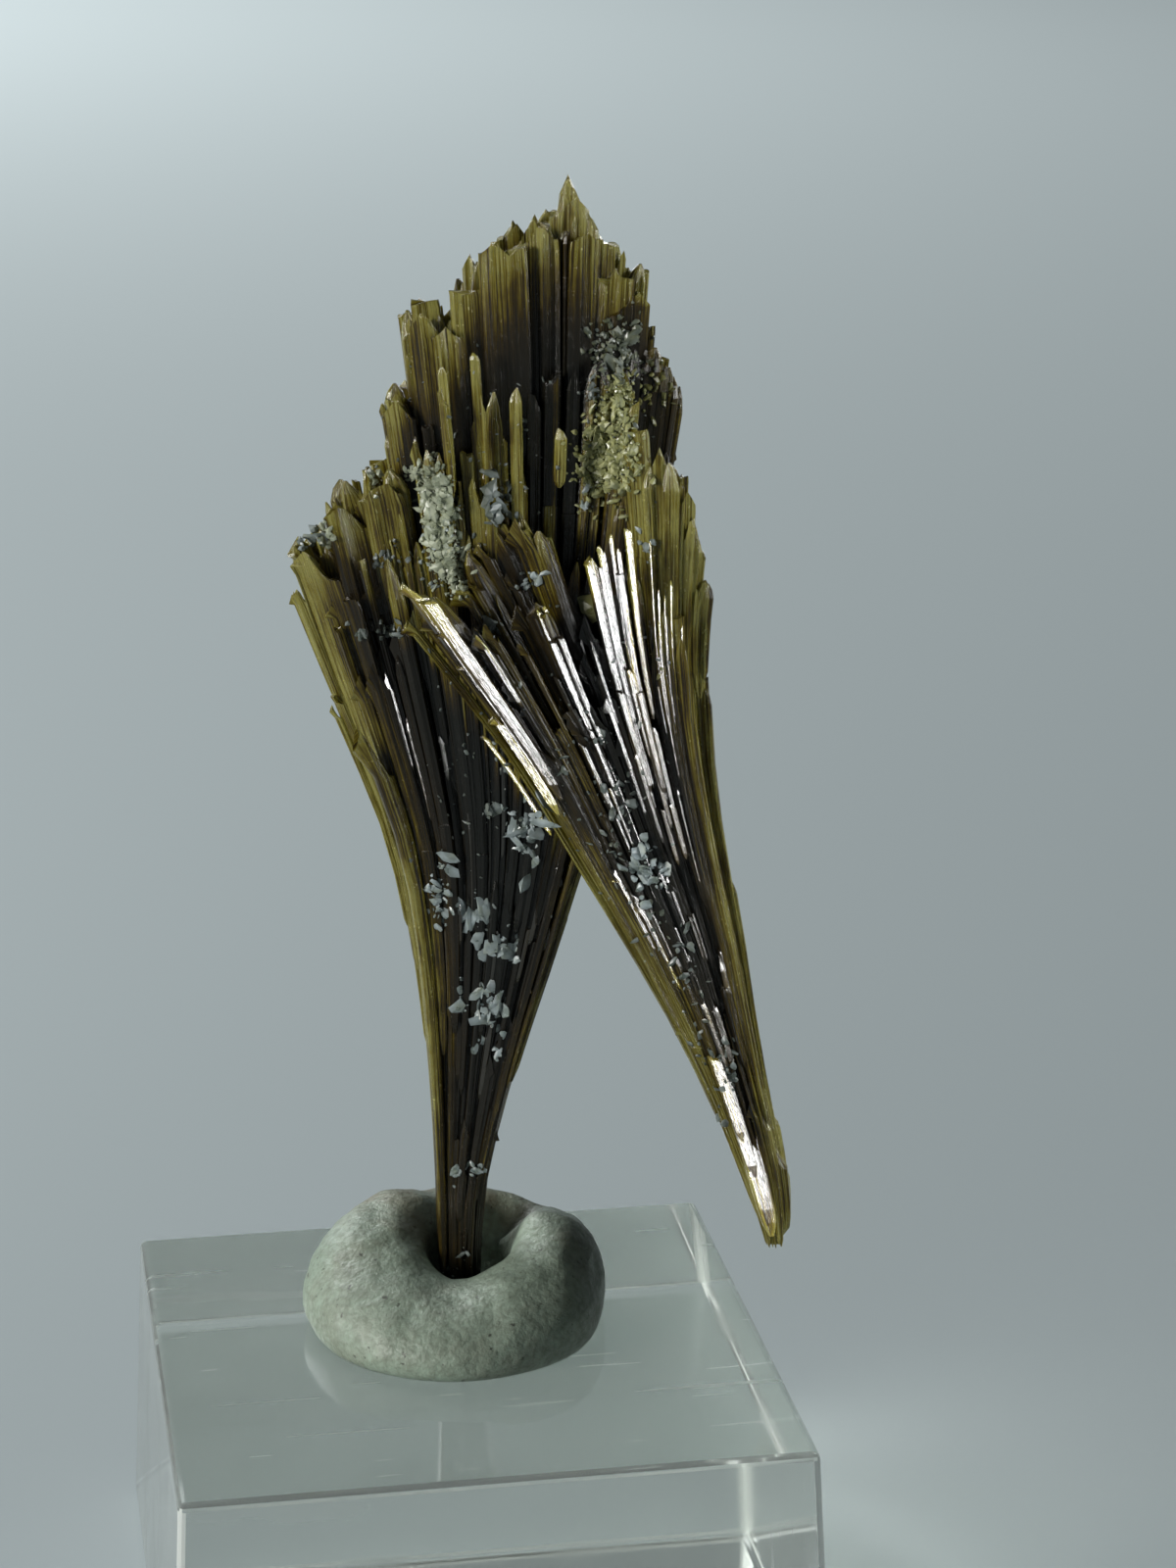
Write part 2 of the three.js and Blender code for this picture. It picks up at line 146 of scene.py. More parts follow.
# Crystals of the leaning fan whose flat faces catch the light, in the same measures.
SHINING_TIPS = [
    [-1.7, 33.5, -5.15, 0.9, 9], [-1, 32.9, -5.3, 0.9, 9],
    [-0.3, 31.6, -5.25, 0.9, 9], [0.4, 30.4, -5, 0.6, 7],
    [1.4, 28, -4.85, 0.9, 4.6], [5.6, 34.9, -4.75, 0.9, 8.6],
    [6.2, 35.4, -5, 1.1, 9.4], [6.7, 35.6, -4.9, 0.7, 9],
    [7, 30, -5.15, 1.1, 5], [7.6, 27.6, -5.05, 1.1, 5],
    [8.5, 24.4, -4.95, 0.7, 2.6], [9.5, 19.6, -4.6, 0.25, 2.2],
    [3.5, 32.4, -4.6, 0.5, 4], [4.1, 31.2, -4.75, 0.6, 5],
    [5.2, 27.6, -4.8, 0.55, 3.6], [6.1, 25, -4.8, 0.4, 3],
]
# Polished crystals of the leaning fan's lower point.
POLISHED_POINT = [
    [10.45, 13.4, -4.35, 0.5, 3.6], [10.8, 12.6, -4.2, 0.6, 4.4],
    [11.55, 10.6, -3.7, 1, 5.2], [11.95, 9.2, -3.7, 0.85, 3.9],
]
# Broad crystals that lie over the narrow ones on both faces of the upright fan.
BROAD_TIPS = [
    [-5.75, 33.9, -1.5, 1.9, 15], [-4.3, 35.9, -1.8, 1.9, 15],
    [-2.9, 36.9, -2.1, 1.8, 14], [-2.2, 40, -1.4, 1.3, 10],
    [-1.2, 43.5, -1.3, 1.5, 13], [-0.2, 43, -1.6, 1.3, 12],
    [0.7, 45, -1.1, 1.7, 12], [2, 46.1, -1.3, 2, 9],
    [3.3, 46.8, -1, 1.9, 8], [4.6, 47.9, -0.8, 1.5, 9],
    [5.3, 46.6, -1.2, 1.4, 7], [6.4, 45.2, -1, 1.6, 9],
    [7.3, 44.2, -0.9, 1.1, 9], [-5.8, 33.5, 1.4, 1.9, 15],
    [-4, 35.6, 1.8, 2.1, 15], [-1.8, 40.2, 1.7, 2.1, 14],
    [0.3, 43.8, 1.4, 2.1, 13], [2.4, 46, 1.4, 2.2, 12],
    [4.5, 47.2, 1.2, 1.9, 11], [6.2, 45.4, 1.3, 2, 11],
    [7.8, 41.6, 1.3, 1.7, 11],
]
# Crystals that end in the leaning fan's lower point.
POINT_BLADES = [
    [12.35, 10.5, -3, 1.3, 5.65], [12.1, 11, -3.4, 1.1, 5.9],
    [12.75, 9.4, -3.2, 1.2, 4.5], [13.2, 8.2, -2.9, 0.9, 3],
]
# Single crystals seen on the upright fan's dark face, with how much more they glow.
FACE_BLADES = [
    [2.5, 40.7, -2.6, 0.5, 7, 0.3], [4.3, 39.1, -2.7, 0.5, 2.4, 0.2],
    [1.5, 37, -2.9, 0.5, 6, 0.2], [-0.4, 41.5, -2.2, 0.4, 5, 0.2],
    [0.9, 42, -2.2, 0.4, 4, 0.2],
]


def to_frame(points):
    """Points in the specimen's millimetres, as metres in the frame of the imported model."""
    points = np.asarray(points, float).reshape(-1, 3)
    c, s = math.cos(FAN_TURN), math.sin(FAN_TURN)
    turned = np.stack(
        [points[:, 0] * c - points[:, 1] * s, points[:, 0] * s + points[:, 1] * c, points[:, 2]], 1
    )
    return (turned + FOOT) * MM


def add_object(name, data, *materials):
    for material in materials:
        data.materials.append(material)
    added = bpy.data.objects.new(name, data)
    bpy.context.scene.collection.objects.link(added)
    return added


def mark(mesh, name, values, kind="FLOAT"):
    """Gives each point of a mesh a value that its material reads."""
    attribute = mesh.attributes.new(name, kind, "POINT")
    key = "value" if kind == "FLOAT" else "vector"
    attribute.data.foreach_set(key, np.array(values, np.float32).ravel())


def fall(distance, wide, power=2):
    """1 where the distance is 0 or less, and down to 0 over about the width."""
    return math.exp(-((max(0.0, distance) / wide) ** power))


def hump(value, middle, spread):
    """1 at the middle, and down to 0 on both sides of it."""
    return math.exp(-(((value - middle) / spread) ** 2))


def envelope(tips):
    """The height that the crystals reach at each place across."""
    places = np.array(sorted(tip[:2] for tip in tips))
    return lambda x: float(np.interp(x, places[:, 0], places[:, 1]))


class Fan:
    """Where the crystals of a fan run: a share across and a layer in depth follow a crystal."""

    def __init__(self, rows, depth, tops):
        self.rows = np.array(rows, float)
        self.depth = depth
        self.top = envelope(tops)

    def row(self, height):
        """The left edge, right edge and half depth at a height, evened out over a short way."""
        spread = [height - 1.4, height, height + 1.4]
        return [np.interp(spread, self.rows[:, 0], self.rows[:, k]).mean() for k in (1, 2, 3)]

    def place(self, share, layer, height):
        left, right, half = self.row(height)
        return left + share * (right - left), self.depth + layer * half

    def follow(self, across, depth, height):
        left, right, half = self.row(height)
        return (across - left) / (right - left), (depth - self.depth) / half


LOWEST_TOP = 31.0  # crystals of the outline that end below this leave the fan's top as it is
UPRIGHT = Fan(UPRIGHT_ROWS, 0.0, [tip for tip in UPRIGHT_TIPS if tip[1] > LOWEST_TOP])
LEANING = Fan(LEANING_ROWS, -3.1, LEANING_TIPS + RIB_TOPS)


class Shell:
    """Collects the faces of a piece, with a few values at each point for its material."""

    def __init__(self, polish=0.0):
        self.points = []
        self.faces = []
        self.fibre = []
        self.below = []
        self.extras = []
        self.extra = 0.0
        self.polish = polish

    def loft(self, rings, fibre_rings, below_rings):
        start = len(self.points)
        sides = len(rings[0])
        for ring, values, below in zip(rings, fibre_rings, below_rings):
            self.points.extend(ring)
            self.fibre.extend(values)
            self.below.extend([below] * sides)
        for r in range(len(rings) - 1):
            for k in range(sides):
                a, b = start + r * sides + k, start + r * sides + (k + 1) % sides
                self.faces.append((a, b, b + sides, a + sides))
        last = start + (len(rings) - 1) * sides
        self.faces.append(tuple(start + k for k in reversed(range(sides))))
        middle = len(self.points)
        self.points.append(tuple(np.mean(rings[-1], axis=0)))
        self.fibre.append(fibre_rings[-1][0])
        self.below.append(below_rings[-1])
        for k in range(sides):
            self.faces.append((last + k, last + (k + 1) % sides, middle))
        self.extras.extend([self.extra] * (len(self.points) - start))

    def piece(self, name, material):
        mesh = bpy.data.meshes.new(name)
        mesh.from_pydata(to_frame(self.points).tolist(), [], self.faces)
        mark(mesh, "fibre", self.fibre, "FLOAT_VECTOR")
        mark(mesh, "polish", [self.polish] * len(self.points))
        piece = add_object(name, mesh, material)
        add_glow(piece, self)
        return piece


RING_GAP = 2.4  # millimetres between a blade's rings
STEPPED = 0.6  # the share of the blades that get narrower at a step
GROOVE = 0.09  # the deepest grooves, as a share of the blade's width
POLISHED_GROOVE = 0.035
BLUNT_CAP = 0.35  # the length of a blunt end, as a share of that of a point
JAGGED_CAP = 0.55  # the length of a jagged end, as a share of the blade's width
TEETH = 6
TONES = 60  # how far apart the streaks of the blades are drawn from the same noise
ENDS = ["point", "point", "chisel", "blunt", "chisel"]


def blade_section(rng, flat, deepest):
    """The outline of a blade across its length, as shares of its width, with fine grooves."""
    section = []
    for side in (-1, 1):
        for k in range(5):
            u = (-0.42 + 0.21 * k + rng.uniform(-0.05, 0.05)) * -side
            groove = rng.uniform(0.0, deepest) + (0.05 if k in (0, 4) else 0.0)
            section.append((u, side * (0.5 * flat - groove)))
        section.append((-0.5 * side, side * 0.16 * flat))
        section.append((-0.5 * side * rng.uniform(0.93, 1.0), -side * 0.16 * flat))
    return section


def blade_levels(rng, root, top, width):
    """The heights of a blade's rings below its end, each with its share of the full width."""
    steps = max(4, round((top - root) / RING_GAP))
    levels = [(root + (top - root) * k / steps, 1.0) for k in range(steps + 1)]
    levels.insert(1, (root + min(0.9 * width, 0.5 * (levels[1][0] - root)), 0.9))
    levels[0] = (root, 0.3)
    if rng.random() < STEPPED and steps > 5:
        k = rng.randrange(3, steps)
        at = levels[k][0]
        slim = rng.uniform(0.84, 0.94)
        above = [(level, slim) for level, _ in levels[k + 1 :]]
        levels = levels[:k] + [(at - 0.02, 1.0), (at + 0.02, slim)] + above
    return levels


def blade_end(rng, kind, section, height, cap):
    """A jagged or blunt end: its share of the blade's width, and the height of each point."""
    if kind == "jagged":
        teeth = [rng.random() for _ in range(TEETH)]
        cuts = [cap * teeth[int((u + 0.5) * (TEETH - 0.01))] for u, _ in section]
        return 0.97, [height - cut - 0.1 * abs(v) for cut, (_, v) in zip(cuts, section)]
    tilt = rng.uniform(-0.8, 0.8)
    return 0.95, [height - cap * (0.5 + tilt * u + rng.uniform(-0.3, 0.3)) for u, _ in section]


def add_blade(shell, fan, tip, rng, face=0.0, kind=None, flat=0.62, cap_share=1.0, lean=0.0):
    """One long crystal that follows its fan, grooved along its length, with its own end."""
    across, height, depth, width, length = tip
    share, layer = fan.follow(across, depth, height)
    root = max(fan.rows[0, 0] + 0.1 + rng.uniform(0, 0.9) * width, height - length)
    kind = kind or rng.choice(ENDS)
    cap = min(0.3 * (height - root), width * cap_share * rng.uniform(0.7, 1.3))
    if kind == "blunt":
        cap *= BLUNT_CAP
    if kind == "jagged":
        cap = JAGGED_CAP * width
    section = blade_section(rng, flat, POLISHED_GROOVE if shell.polish else GROOVE)
    c, s = math.cos(face), math.sin(face)
    apex = rng.uniform(-0.25, 0.25)
    tone = rng.random() * TONES
    full = fan.row(height)
    levels = blade_levels(rng, root, height - cap, width)
    top_scale = levels[-1][1]
    rings, fibres, belows = [], [], []

    def ring(level, scale, heights=None, centre=0.0):
        row = fan.row(level)
        x, y = fan.place(share, layer, level)
        y += lean * (level - height)
        spread = min(1.0, max(0.3, 0.25 + 0.8 * (row[1] - row[0]) / (full[1] - full[0])))
        deep = min(1.0, max(0.4, 0.2 + 0.85 * row[2] / full[2]))
        points, values = [], []
        for k, (u, v) in enumerate(section):
            wide = (centre + (u - centre) * scale) * width * spread
            thick = v * scale * width * deep
            z = level if heights is None else heights[k]
            points.append((x + wide * c - thick * s, y + wide * s + thick * c, z))
            values.append(((u + 0.6 * v) * width, tone, z))
        rings.append(points)
        fibres.append(values)
        belows.append(max(0.0, height - level))

    for level, scale in levels:
        ring(level, scale)
    if kind == "point":
        ring(height - 0.45 * cap, 0.66 * top_scale, None, apex)
        ring(height - 0.06 * cap, 0.14 * top_scale, None, apex)
    elif kind == "chisel":
        slope = [height - cap * min(0.95, 1.7 * abs(u - apex) + 0.25 * abs(v)) for u, v in section]
        ring(height, 0.93 * top_scale, slope)
    else:
        scale, heights = blade_end(rng, kind, section, height, cap)
        ring(height, scale * top_scale, heights)
    shell.loft(rings, fibres, belows)


def add_body(shell, fan, top, rng):
    """The fluted body of a fan, with ridges that run along its crystals."""
    SIDES = 110
    RINGS = 26
    INSIDE = 9.0  # the body lies as deep as this below the crystals' ends
    levels = list(np.linspace(fan.rows[0, 0] + 0.3, top, RINGS))
    ridge = [0.95 + rng.gauss(0, 0.025) for _ in range(SIDES)]
    rings, fibres = [], []
    for r, level in enumerate(levels + [top + 1.2]):
        close = 0.7 if r == RINGS else 1.0
        ring, values = [], []
        for k in range(SIDES):
            angle = 2 * math.pi * k / SIDES
            cx, cy = math.cos(angle), math.sin(angle)
            share = 0.5 + 0.49 * close * ridge[k] * math.copysign(abs(cx) ** 0.8, cx)
            layer = close * ridge[k] * math.copysign(abs(cy) ** 0.8, cy)
            ring.append((*fan.place(share, 0.96 * layer, level), level))
            values.append((k * 0.25, 5.0, level))
        rings.append(ring)
        fibres.append(values)
    shell.loft(rings, fibres, [INSIDE] * (RINGS + 1))


SHINE = math.radians(14)  # the turn of the faces that catch the low front light


def turned_face(rng):
    """A face's turn that keeps away from the one that shines."""
    turn = rng.gauss(0, 0.30)
    while abs(turn - SHINE) < 0.14:
        turn = rng.gauss(0, 0.30)
    return turn


def shining(across, height):
    """Whether a place on the leaning fan is on its bright rib or its bright left crystal."""
    rib = np.interp(height, [14, 19, 22, 26, 30, 35], [10.9, 9.8, 9.2, 7.9, 6.8, 6.2])
    blade = np.interp(height, [5, 8, 23, 25.6, 28, 32], [12.4, 11.8, 3.9, 2.3, 0.8, -1.4])
    on_blade = abs(across - blade) < 0.9 and (height < 10 or height > 22)
    return (height > 17 and abs(across - rib) < 0.95) or on_blade


def rounded(share):
    """How far a fan's face stands out at a share across it."""
    return math.sqrt(max(0.1, 1 - (2 * share - 1) ** 4))


def add_group(shell, fan, tip, rng, on_face):
    """A crystal of the outline with narrower ones grown against its sides."""
    across, height, depth, width, length = tip
    if not on_face:
        main = [across, height, depth, 0.85 * width, length]
        add_blade(shell, fan, main, rng, turned_face(rng), flat=rng.uniform(0.5, 0.75))
    for side in (-1, 1):
        place = across + side * width * rng.uniform(0.2, 0.38)
        fall_short = rng.uniform(0.1, 0.9) * width if not on_face else rng.uniform(0, 2.5)
        close = depth + rng.uniform(-0.25, 0.25) * width
        part = [place, height - fall_short, close, width * rng.uniform(0.35, 0.55), length * 0.8]
        add_blade(shell, fan, part, rng, turned_face(rng), None, rng.uniform(0.6, 0.9), 1.8)


# Polished slivers, as [fan, low, high, left share, right share, count, how far they stand out].
SHINING_SLIVERS = [
    [LEANING, 14, 33, 0.12, 0.88, 26, 0], [LEANING, 24, 37, 0.84, 0.97, 18, 0.35],
    [UPRIGHT, 12, 30, 0.12, 0.88, 18, 0],
]


def build_shining(material):
    """The crystals of the leaning fan whose polished faces catch the light."""
    LEFT_CRYSTAL = 1.0  # the crystals left of this make one bright crystal that leans back
    rng = random.Random(5)
    shell = Shell(polish=1.0)
    for tip in POLISHED_POINT:
        add_blade(shell, LEANING, tip, rng, SHINE, "blunt", flat=0.5, lean=0.2)
    for across, height, depth, width, length in SHINING_TIPS:
        parts = 1 if across < LEFT_CRYSTAL else 3 if width > 1.05 else 2
        for k in range(parts):
            place = across + width * ((k + 0.5) / parts - 0.5)
            lower = rng.uniform(0, 0.22) * length if k != parts // 2 else 0.0
            narrow = width / parts * (0.85 if parts == 1 else rng.uniform(0.5, 1.15))
            near = depth + rng.uniform(-0.12, 0.12)
            tip = [place, height - lower, near, narrow, length * rng.uniform(0.75, 1.0)]
            turn = SHINE + rng.gauss(0, 0.045)
            kind = rng.choice(["blunt", "chisel"])
            lean = -0.06 if across < LEFT_CRYSTAL else 0.0
            add_blade(shell, LEANING, tip, rng, turn, kind, flat=0.8, lean=lean)
    for fan, low, high, left, right, count, out in SHINING_SLIVERS:
        for _ in range(count):
            height = rng.uniform(low, high)
            share = rng.uniform(left, right)
            x, _ = fan.place(share, 0.0, height)
            if height > fan.top(x) - 3.0:
                continue
            depth = fan.depth - fan.row(height)[2] * rounded(share) - out
            width = rng.uniform(0.12, 0.3)
            if out:
                width = rng.uniform(0.05, 0.09)
            tip = [x, height, depth, width, rng.uniform(1.5, 6)]
            add_blade(shell, fan, tip, rng, SHINE + rng.gauss(0, 0.06), None, 0.9, 3.0)
    return shell.piece("bright_crystals", material)


# Layers of thinner crystals, as [layer in depth, count].
CORE_LAYERS = [[-0.35, 34], [0.0, 30], [0.35, 34]]
UPRIGHT_LAYERS = [[-1.0, 30], [-0.85, 24], [-0.6, 16], [0.6, 16], [0.85, 24], [1.0, 30]]
LEANING_LAYERS = [[-1.0, 22], [-0.6, 18], [-0.2, 18], [0.2, 14], [0.6, 14], [1.0, 20]]
CORE_WIDTHS = [0.28, 0.4, 0.55, 0.8, 1.1]
REAR_GLOW = [0.0, 0.0, 0.18, 0.32]  # how much more the crystals of the hidden side glow
RECESS_LEFT, RECESS_RIGHT = 1.8, 6.4  # the dark hollow near the upright fan's top


def spaced(rng, left, wide, count):
    """Places across at uneven steps."""
    for k in range(count):
        yield left + wide * (k + rng.uniform(0.0, 1.0)) / count


def add_layers(behind, front, rng):
    """Thinner crystals in layers, that fill the fans and end in long points on their faces."""
    for layer, count in CORE_LAYERS:
        for across in spaced(rng, -6.3, 15.0, count):
            height = UPRIGHT.top(across) - rng.uniform(0.1, 1.9)
            share, _ = UPRIGHT.follow(across, 0.0, height)
            if 0.02 < share < 0.98:
                width = rng.choice(CORE_WIDTHS) * rng.uniform(0.8, 1.2)
                tip = [across, height, layer * 2.4, width, rng.uniform(8, 18)]
                add_blade(behind, UPRIGHT, tip, rng, turned_face(rng), None, rng.uniform(0.35, 0.6))
    for layer, count in UPRIGHT_LAYERS:
        for across in spaced(rng, -6.2, 14.6, count):
            drop = 9.0 * abs(layer) ** 2 * rng.uniform(0.5, 1.25) + rng.uniform(0.2, 3.0)
            height = UPRIGHT.top(across) - drop
            if layer < -0.4 and RECESS_LEFT < across < RECESS_RIGHT and height > 33.5:
                height = rng.uniform(28, 34)
            share, _ = UPRIGHT.follow(across, 0.0, height)
            if 0.02 < share < 0.98:
                tip = [across, height, layer * 2.6, rng.uniform(0.35, 0.95), rng.uniform(10, 26)]
                flat = rng.uniform(0.4, 0.7)
                behind.extra = rng.choice(REAR_GLOW) if layer > 0 else 0.0
                add_blade(behind, UPRIGHT, tip, rng, turned_face(rng), None, flat, 2.2)
    for layer, count in LEANING_LAYERS:
        for across in spaced(rng, -0.8, 10.3, count):
            drop = 5.0 * abs(layer) * rng.uniform(0.4, 1.3) + rng.uniform(0.2, 3.0)
            height = min(35.0, LEANING.top(across)) - drop
            share, _ = LEANING.follow(across, 0.0, height)
            if (layer < -0.5 and shining(across, height)) or not 0.03 < share < 0.97:
                continue
            depth = LEANING.depth + layer * 1.5
            tip = [across, height, depth, rng.uniform(0.3, 0.8), rng.uniform(10, 22)]
            flat = rng.uniform(0.4, 0.7)
            front.extra = rng.choice(REAR_GLOW) if layer > 0 else 0.0
            add_blade(front, LEANING, tip, rng, turned_face(rng), None, flat, 2.2)
    behind.extra = front.extra = 0.0


def add_slivers(shell, fan, low, high, count, rng):
    """Slivers that lie on both faces of a fan."""
    for _ in range(count):
        height = rng.uniform(low, high)
        left, right, half = fan.row(height)
        share = rng.uniform(0.05, 0.95)
        across = left + share * (right - left)
        side = rng.choice([-1, -1, 1])
        hollow = fan is UPRIGHT and RECESS_LEFT < across < RECESS_RIGHT and height > 34
        bright = fan is LEANING and shining(across, height - 2)
        if height > fan.top(across) - 2.5 or (side < 0 and (hollow or bright)):
            continue
        depth = fan.depth + side * half * rounded(share) * rng.uniform(0.9, 1.02)
        tip = [across, height, depth, rng.uniform(0.14, 0.36), rng.uniform(3, 12)]
        add_blade(shell, fan, tip, rng, turned_face(rng), None, 0.9, 3.0)


def build_cluster(material):
    """The crystals of the upright fan, and those of the leaning one, each as one piece."""
    rng = random.Random(7)
    behind, front = Shell(), Shell()
    add_body(behind, UPRIGHT, 32.0, rng)
    add_body(front, LEANING, 26.0, rng)
    for tip in UPRIGHT_TIPS:
        add_group(behind, UPRIGHT, tip, rng, on_face=False)
    for tip in UPRIGHT_FACES:
        add_group(behind, UPRIGHT, tip, rng, on_face=True)
    for tip in LEANING_TIPS + LEANING_SIDES:
        add_group(front, LEANING, tip, rng, on_face=False)
    for tip in BROAD_TIPS:
        kind = rng.choice(["jagged", "jagged", "chisel"])
        add_blade(behind, UPRIGHT, tip, rng, 0.5 * turned_face(rng), kind, flat=0.3, cap_share=0.6)
    for tip in POINT_BLADES:
        add_blade(front, LEANING, tip, rng, turned_face(rng), "point", flat=0.75)
    for *tip, extra in FACE_BLADES:
        behind.extra = extra
        add_blade(behind, UPRIGHT, tip, rng, turned_face(rng), "point", flat=0.6)
    behind.extra = 0.0
    add_layers(behind, front, rng)
    add_slivers(behind, UPRIGHT, 6, 42, 240, rng)
    add_slivers(front, LEANING, 8, 33, 170, rng)
    return behind.piece("upright_crystals", material), front.piece("leaning_crystals", material)


def upright_glow(x, z, left, right):
    """How much the upright fan's edge and end glow at a place, as painted light shining through."""
    wide = 0.4 + 0.045 * z
    edge = max(0.95 * fall(x - left, wide, 1.3), 0.7 * fall(right - x, 0.7 * wide, 1.3))
    edge *= np.interp(z, [0, 4, 8, 14], [0.05, 0.2, 0.65, 1.0])
    end = 0.85 * fall(UPRIGHT.top(x) - z, 3.2, 1.3) if z > 24 else 0.0
    darker = x > 6.6 and z < 43.6
    return (0.5 * edge, 0.45 * end) if darker else (edge, end)


def leaning_glow(x, z, left, right):
    """How much the leaning fan's edges, middle stripe, top and lower point glow at a place, as
    painted light shining through.
    """
    wide = 0.6 + 0.9 * hump(z, 17, 7)
    stripe = 0.42 * hump((x - left) / (right - left), 0.3, 0.16)
    stripe *= np.interp(z, [21, 25, 33], [0, 1, 1])
    edge = max(0.8 * fall(x - left, wide), 0.78 * fall(right - x, 0.7, 1), stripe)
    over = LEANING.top(x) - z
    end = 1.05 * fall(over, 9.0) if x > 6.9 else 0.74 * fall(over, 1.3, 1.6)
    return edge, max(end, 0.85 * fall(z - 4.8, 2.2))


def add_glow(piece, shell):
    """Marks where the crystals are thin enough to glow, with painted light shining through: 1 at
    thin edges and ends, 0 inside.
    """
    thick = thickness(piece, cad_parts["epidote_cluster"])
    painted_glow = []
    for (x, y, z), below, extra, through in zip(shell.points, shell.below, shell.extras, thick):
        left, right, _ = UPRIGHT.row(z)
        edge, end = upright_glow(x, z, left, right)
        if y < -1.5:
            low, high, _ = LEANING.row(z)
            if low - 0.6 < x < high + 0.6 and not (x < right - 0.3 and y > -1.8):
                edge, end = leaning_glow(x, z, low, high)
        shown = max(edge, end)
        painted_glow.append(shown * (1 + 0.14 * fall(below, 0.5, 1)) + 0.15 * fall(through, 0.45, 1) + extra)
    mark(piece.data, "painted_glow", np.clip(painted_glow, 0, 1))


def thickness(piece, solid):
    """How many millimetres of the solid lie over each point, through its thinnest way."""
    OUTSIDE = 0.03  # metres, more than the solid reaches from any point in these directions
    STEP_PAST = 1e-6
    MOST_HITS = 14
    tree = BVHTree.FromObject(solid, bpy.context.evaluated_depsgraph_get())
    c, s = math.cos(FAN_TURN), math.sin(FAN_TURN)
    directions = [Vector((-s, c, 0)), Vector((c, s, 0)), Vector((0.7 * c, 0.7 * s, 0.714))]
    least = np.full(len(piece.data.vertices), 99.0)
    for i, vertex in enumerate(piece.data.vertices):
        for direction in directions:
            start = vertex.co - direction * OUTSIDE
            inside, total, travelled = False, 0.0, 0.0
            for _ in range(MOST_HITS):
                hit, normal, _, distance = tree.ray_cast(start, direction, 2 * OUTSIDE - travelled)
                if hit is None:
                    break
                if inside:
                    total += distance
                inside = normal.dot(direction) < 0
                travelled += distance + STEP_PAST
                start = hit + direction * STEP_PAST
            least[i] = min(least[i], total / MM)
    return least


